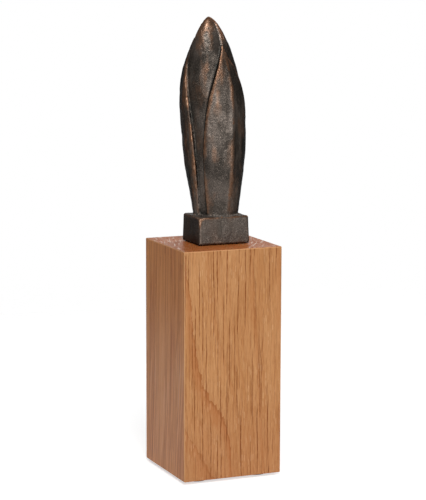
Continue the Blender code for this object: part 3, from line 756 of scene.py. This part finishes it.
def leaf_lift(along, across, from_edge):
    """How far a leaf's outer side stands off the bud, as a share of its lift. across is -1 to 1."""
    rise = LEAF_ROOT_LIFT + (1 - LEAF_ROOT_LIFT) * ramp(along, 0, 0.4)
    drop = LEAF_TIP_DROP * ramp(along, 0.75, 1)
    keel = LEAF_KEEL * (1 - np.abs(across)) ** 1.5 + LEAF_MIDRIB * band(across, 0, LEAF_MIDRIB_REACH)
    keel = keel * (1 - along**4) * (0.35 + 0.65 * ramp(along, 0, 0.3))
    inward = 1 - np.clip(from_edge / LEAF_LIP_WIDTH, 0, 1)
    lip = LEAF_LIP_DROP * (1 - np.sqrt(1 - inward**2))
    veins = LEAF_VEIN_DEPTH * np.cos(across * LEAF_VEINS * math.pi) * ramp(along, 0, 0.3) * (1 - along**3)
    return rise - drop + keel - lip + veins


def leaf_solid(bud, number, leaf, rows=150, columns=64):
    """An open leaf: its outer side, its inner side within the bud, and the rim that joins them."""
    low = -BUD_ROOT / bud.height
    tip = leaf.tip_height / bud.height
    along = np.sin(math.pi / 2 * np.linspace(0, 1, rows))[:, None]
    across = np.sin(math.pi / 2 * np.linspace(-1, 1, columns))[None, :]
    share = low + (tip - low) * along
    half = math.radians(leaf.half_angle) * leaf_outline(along)
    angle = np.radians(leaf.azimuth + leaf.twist * along) + half * across
    from_edge = (1 - np.abs(across)) * (half * BUD_WIDTH / 2)
    outer = bud.points(angle, share, leaf.lift * leaf_lift(along, across, from_edge))
    inner = bud.points(angle, share, np.full_like(angle, -LEAF_ROOT_DEPTH))
    count = rows * columns
    faces = grid_faces(rows, columns) + grid_faces(rows, columns, start=count)
    index = np.arange(count).reshape(rows, columns)
    rim = [*index[0], *index[1:-1, -1], *index[-1, ::-1], *index[-2:0:-1, 0]]
    for here, after in zip(rim, rim[1:] + rim[:1]):
        faces.append((int(here), int(after), int(after) + count, int(here) + count))
    points = np.concatenate([outer.reshape(-1, 3), inner.reshape(-1, 3)])
    return solid_object(f"leaf_{number}", points.tolist(), faces)


def foot_solid(low, high):
    bm = rounded_box(low, high, FOOT_CORNER_RADIUS, segments=2, taper=FOOT_TAPER)
    top_edges = [edge for edge in bm.edges if min(vert.co.z for vert in edge.verts) > (low.z + high.z) / 2]
    bmesh.ops.bevel(bm, geom=top_edges, offset=FOOT_EDGE_RADIUS, segments=4, profile=0.5, affect="EDGES")
    return link("foot", mesh_from("foot", bm))


def one_skin(parts):
    """Joins the parts and wraps them in one mesh with even faces."""
    whole = parts[0]
    bpy.ops.object.select_all(action="DESELECT")
    for part in parts:
        part.select_set(True)
    bpy.context.view_layer.objects.active = whole
    bpy.ops.object.join()
    remesh = whole.modifiers.new("one_skin", "REMESH")
    remesh.mode = "VOXEL"
    remesh.voxel_size = CASTING_VOXEL
    skin = evaluated_mesh(whole)
    bpy.data.objects.remove(whole)
    return skin


def cut_recess(casting, plate_low, plate_high):
    """Cuts the fixing plate's recess out of the casting's underside."""
    low = plate_low - Vector((RECESS_GAP, RECESS_GAP, RECESS_OVERRUN))
    high = plate_high + Vector((RECESS_GAP, RECESS_GAP, RECESS_GAP))
    recess = link("recess", mesh_from("recess", rounded_box(low, high, RECESS_CORNER_RADIUS, segments=5)))
    cut = casting.modifiers.new("plate_recess", "BOOLEAN")
    cut.object = recess
    cut.operation = "DIFFERENCE"
    casting.data = evaluated_mesh(casting)
    casting.modifiers.clear()
    bpy.data.objects.remove(recess)


def cast_bronze(material):
    """The bud on its foot, cast in one piece."""
    casting_low, casting_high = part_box("bronze_casting")
    plate_low, plate_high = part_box("mounting_plate")
    foot_low = Vector((plate_low.x - FOOT_WALL, plate_low.y - FOOT_WALL, casting_low.z))
    foot_high = Vector((plate_high.x + FOOT_WALL, plate_high.y + FOOT_WALL, casting_low.z + FOOT_HEIGHT))
    middle = (foot_low + foot_high) / 2
    bud = Bud(Vector((middle.x, middle.y, casting_low.z)), casting_high.z)
    parts = [foot_solid(foot_low, foot_high), inner_bud(bud)]
    parts += [leaf_solid(bud, number, leaf) for number, leaf in enumerate(LEAVES)]
    mesh = one_skin(parts)
    weather(mesh, bud, Vector((foot_low.x, foot_low.y, foot_high.z)))
    mesh.materials.append(material)
    mesh.shade_smooth()
    casting = link("cast_bronze_bud", mesh)
    cut_recess(casting, plate_low, plate_high)
    return casting


# ================================================================ bronze bud, surface
class Skin:
    """A mesh's points as an array, and the edges that join them."""

    def __init__(self, mesh):
        self.mesh = mesh
        self.points = self.read("co")
        ends = np.empty(len(mesh.edges) * 2, dtype=np.int64)
        mesh.edges.foreach_get("vertices", ends)
        self.edge_ends = ends.reshape(-1, 2).T
        self.neighbours = np.bincount(ends, minlength=len(self.points)).astype(float)

    def read(self, name):
        values = np.empty(len(self.mesh.vertices) * 3)
        self.mesh.vertices.foreach_get(name, values)
        return values.reshape(-1, 3)

    def store(self):
        self.mesh.vertices.foreach_set("co", self.points.ravel())
        self.mesh.update()

    def smoothed(self, points, share, passes):
        """Moves each point by a share of the way to its neighbours' mean, as many times as passes says."""
        first, second = self.edge_ends
        for _ in range(passes):
            total = np.zeros_like(points)
            for here, there in ((first, second), (second, first)):
                for axis in range(3):
                    total[:, axis] += np.bincount(here, points[there, axis], len(points))
            points = points + share * (total / self.neighbours[:, None] - points)
        return points


def cast_skin(place, near_joint, on_foot):
    """Height of the casting's surface over its true shape, in mm, for a place in mm."""
    x, y, z = place
    modelled = noise.noise(place / 9) * 0.26 + noise.noise(place / 4) * 0.12
    strokes = noise.noise(Vector((x / 3, y / 3, z / 13))) * 0.13
    pitted = noise.noise(place / 2.3) * max(noise.noise(place / 10) + 0.2, 0) * 0.18
    sandy = noise.noise(place / 1.25) * 0.06 * (1 - 0.75 * on_foot)
    crud = near_joint * max(noise.noise(place / 1.5 + Vector((2, 5, 0))), 0.0) * 1.1
    return (modelled + strokes + pitted) * (1 - 0.85 * on_foot) + sandy + crud


def weather(mesh, bud, foot_corner):
    """Softens the skin, gives it a cast surface, and marks where it is rubbed, raised and dusty, and where
    shade is painted into its recesses.
    """
    skin = Skin(mesh)
    skin.points = skin.smoothed(skin.points, SOFTENING, SOFTENING_PASSES)
    near_joint = band(skin.points[:, 2], foot_corner.z, JOINT_REACH) * bud.closeness(skin.points)
    skin.points = skin.smoothed(skin.points, JOINT_SOFTENING * near_joint[:, None], JOINT_PASSES)
    skin.store()

    normals = skin.read("normal")
    on_foot = ramp(foot_corner.z - skin.points[:, 2], FADE_FROM, FADE_TO)
    places = zip(skin.points / MM, near_joint, on_foot)
    heights = np.array([cast_skin(Vector(place), joint, foot) for place, joint, foot in places])
    skin.points += normals * (heights * MM)[:, None]
    skin.store()

    smooth = skin.smoothed(skin.points, SOFTENING, FINE_PASSES)
    smoother = skin.smoothed(smooth, SOFTENING, BROAD_PASSES - FINE_PASSES)
    raised = np.sum((skin.points - smooth) * normals, axis=1) / MM
    broad = np.sum((skin.points - smoother) * normals, axis=1) / MM
    for name, value in skin_marks(skin.points, foot_corner, on_foot, raised, broad).items():
        field = mesh.attributes.new(name, "FLOAT", "POINT")
        field.data.foreach_set("value", np.clip(value, 0, 1).astype(np.float32))


def skin_marks(points, foot_corner, on_foot, raised, broad):
    """What the bronze material reads at each point.

    Wear is on raised edges, unevenly, and most round the corner that is handled. Dust has settled on the
    foot's level top. Ridges are those of the broad relief, and shade is painted into its recesses. raised
    and broad are a point's heights in mm over the skin without its fine relief and without its broad
    relief.
    """
    over_foot = points[:, 2] - foot_corner.z
    edge = ramp(raised, 0.03, 0.17) * 0.8 + ramp(broad, 0.10, 0.60) * 0.4
    foot_edge = band(over_foot, -WORN_EDGE_DEPTH, WORN_EDGE_REACH)
    patchy = np.array([noise.noise(Vector(place) / 7 + Vector((3, 8, 1))) for place in points / MM])
    rubbed = (0.18 + 0.40 * foot_edge + ramp(patchy, -0.15, 0.35)) * (1 - 0.93 * on_foot)
    handled = band(np.linalg.norm(points - np.array(foot_corner), axis=1), 0, HANDLED_REACH)
    return {
        "wear": edge * (rubbed + 3.0 * handled),
        "on_foot": on_foot,
        "settled": band(over_foot, 0, DUST_REACH) * (1 - ramp(raised, 0.02, 0.12)),
        "ridge": ramp(broad, -0.02, 0.33) * (1 - 0.85 * on_foot),
        # painted shade, in the broad relief's recesses above the foot
        "hollow_shade": ramp(broad, -0.06, -0.46) * ramp(over_foot, FADE_FROM, FADE_TO),
    }


# ================================================================ felt pads
FELT_RIM = 0.5 * MM  # how far the flat sides end inside the rim
FELT_RIM_FULLNESS = 0.55  # a power, smaller for a squarer rim
FELT_FUZZ = 0.12 * MM
FELT_WELD = 0.001 * MM


def felt_pad(node, material, rings=14, steps=96):
    """A die-cut felt disc, with a soft rim and a slightly uneven edge."""
    low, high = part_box(node)
    middle = (low + high) / 2
    radius, half = (high.x - low.x) / 2, (high.z - low.z) / 2
    profile = [(0.0, -half), (radius * 0.5, -half)]
    for i in range(rings + 1):
        turn = math.pi * i / rings - math.pi / 2
        full = abs(math.cos(turn)) ** FELT_RIM_FULLNESS
        profile.append((radius - FELT_RIM * (1 - full), half * math.sin(turn)))
    profile += [(radius * 0.5, half), (0.0, half)]
    vertices = []
    for reach, height in profile:
        for i in range(steps):
            angle = math.tau * i / steps
            way = Vector((math.cos(angle), math.sin(angle), 0))
            fuzz = noise.noise(way * 9 + middle * 900) * FELT_FUZZ * (reach / radius)
            vertices.append(middle + way * min(reach + fuzz, radius) + Vector((0, 0, height)))
    faces = grid_faces(len(profile), steps, closed=True)
    pad = solid_object(f"{node}_felt", vertices, faces, weld=FELT_WELD)
    pad.data.shade_smooth()
    pad.data.materials.append(material)
    return pad


# ================================================================ studio
FLOOR_WHITE_TO = 0.25  # the floor is whole out to here, and fades into the room by FLOOR_REACH
FLOOR_REACH = 0.75
FLOOR_RADIUS = 1.1 * FLOOR_REACH
FLOOR_DROP = 0.05 * MM  # it lies this much below the pads, so that the faces don't meet
FLOOR_COLOUR = (0.78, 0.78, 0.78, 1)
FLOOR_GLOW = 0.6
WHITE = (1, 1, 1, 1)

# The room is white to the eye and in reflections where the back light is, and greyer away from it.
ROOM = 0.52
AMBIENT = 0.10  # what falls on surfaces
BACK_LIGHT = (157, -9)  # azimuth and elevation
BACK_LIGHT_FULL, BACK_LIGHT_NONE = 10, 34  # degrees from its middle

LAMP_TARGET = 0.15  # height over the floor
Softbox = namedtuple("Softbox", "name azimuth elevation distance size power")
SOFTBOXES = (
    Softbox("key", azimuth=-20, elevation=50, distance=1.6, size=(0.7, 0.7), power=16),
    Softbox("low_front", azimuth=-6, elevation=6, distance=1.5, size=(1.4, 0.6), power=9),
    Softbox("rear", azimuth=112, elevation=38, distance=1.6, size=(0.7, 0.7), power=7),
)


def direction(azimuth, elevation):
    """From the object towards a place, where azimuth 0 is in front and positive is to the right."""
    a, e = math.radians(azimuth), math.radians(elevation)
    return Vector((math.sin(a) * math.cos(e), -math.cos(a) * math.cos(e), math.sin(e)))


def aimed(way):
    """The rotation that looks along a direction."""
    return way.to_track_quat("-Z", "Y").to_euler()


def seen_by_eye_or_mirror(shading):
    """1 for rays from the camera, a reflection or glass, 0 for the light that falls on surfaces."""
    paths = shading.node("LightPath").outputs
    mirrored = shading.plus(paths["Is Glossy Ray"], paths["Is Transmission Ray"])
    return shading.math("ADD", paths["Is Camera Ray"], mirrored, clamp=True)


def floor_material():
    floor = Surface("studio_floor", {"Specular IOR Level": 0.0, "Roughness": 0.9})
    floor.set({"Base Color": FLOOR_COLOUR, "Emission Color": WHITE})
    reach = floor.length(floor.millimetres())
    floor.set({
        "Emission Strength": floor.times(seen_by_eye_or_mirror(floor), FLOOR_GLOW),
        "Alpha": floor.span(reach, 1000 * FLOOR_WHITE_TO, 1000 * FLOOR_REACH, 1, 0),
    })
    return floor.material


def studio_world():
    world = bpy.data.worlds.new("studio")
    world.use_nodes = True
    room = Shading(world.node_tree)
    room.tree.nodes.clear()
    way = room.node("TexCoord").outputs["Generated"]
    none, full = (math.cos(math.radians(angle)) for angle in (BACK_LIGHT_NONE, BACK_LIGHT_FULL))
    shown = room.span(room.dot(way, direction(*BACK_LIGHT)), none, full, ROOM, 1)
    strength = room.between(AMBIENT, shown, seen_by_eye_or_mirror(room))
    light = room.node("Background", {"Color": WHITE, "Strength": strength})
    room.node("OutputWorld", {"Surface": light.outputs[0]})
    return world


def floor_disc(middle):
    bm = bmesh.new()
    bmesh.ops.create_circle(bm, cap_ends=True, segments=96, radius=FLOOR_RADIUS)
    floor = link("floor", mesh_from("floor", bm))
    floor.data.materials.append(floor_material())
    floor.location = middle - Vector((0, 0, FLOOR_DROP))
    floor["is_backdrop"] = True


def softbox(box, target):
    lamp = bpy.data.lights.new(box.name, "AREA")
    lamp.shape = "RECTANGLE"
    lamp.size, lamp.size_y = box.size
    lamp.energy = box.power
    obj = link(box.name, lamp)
    way = direction(box.azimuth, box.elevation)
    obj.location = target + way * box.distance
    obj.rotation_euler = aimed(-way)


def studio(middle):
    scene = bpy.context.scene
    scene.view_settings.view_transform = "Standard"
    scene.world = studio_world()
    floor_disc(middle)
    for box in SOFTBOXES:
        softbox(box, middle + Vector((0, 0, LAMP_TARGET)))


def camera(base_middle):
    data = bpy.data.cameras.new("camera")
    data.lens = CAMERA_LENS
    data.sensor_width = CAMERA_SENSOR
    data.clip_start = CAMERA_CLIP
    obj = link("camera", data)
    obj.location = base_middle + CAMERA_PLACE
    obj.rotation_euler = aimed(-direction(CAMERA_AZIMUTH, CAMERA_PITCH))
    obj.rotation_euler.rotate_axis("Z", math.radians(CAMERA_ROLL))
    bpy.context.scene.camera = obj


# ================================================================ the whole scene
TURNED_FITTINGS = {
    "pin_socket": BRASS,
    "steady_socket": BRASS,
    "mounting_pin": STEEL,
    "steady_pin": STEEL,
    "plate_screw_left": STEEL,
    "plate_screw_right": STEEL,
}


def base_of(corners):
    """The middle of a box's underside."""
    low, high = corners
    return Vector(((low.x + high.x) / 2, (low.y + high.y) / 2, low.z))


def give(node, material):
    obj = frame["nodes"][node]
    obj.data.materials.clear()
    obj.data.materials.append(material)


for old in list(bpy.data.objects):
    bpy.data.objects.remove(old, do_unlink=True)
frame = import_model()

oak_low, oak_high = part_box("oak_plinth")
oak_base = base_of((oak_low, oak_high))
give("oak_plinth", oak_material(oak_base, oak_high - oak_low))

felt = felt_material()
for pad_node in sorted(node for node in frame["nodes"] if node.startswith("felt_pad")):
    pad = felt_pad(pad_node, felt)
    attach(pad, "plinth")
    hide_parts(pad_node)

bronze = cast_bronze(bronze_material())
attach(bronze, "exhibit")
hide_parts("bronze_casting")

for turned_node, metal in TURNED_FITTINGS.items():
    node_low, node_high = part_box(turned_node)
    axis = (node_low + node_high) / 2
    give(turned_node, metal_material(f"{turned_node}_metal", metal, TURNED_ROUGHNESS, turned_about=axis))
give("mounting_plate", metal_material("milled_brass", BRASS, MILLED_ROUGHNESS))
give("lock_nut", metal_material("steel_nut", STEEL, MILLED_ROUGHNESS))

studio(base_of(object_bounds()))
camera(oak_base)
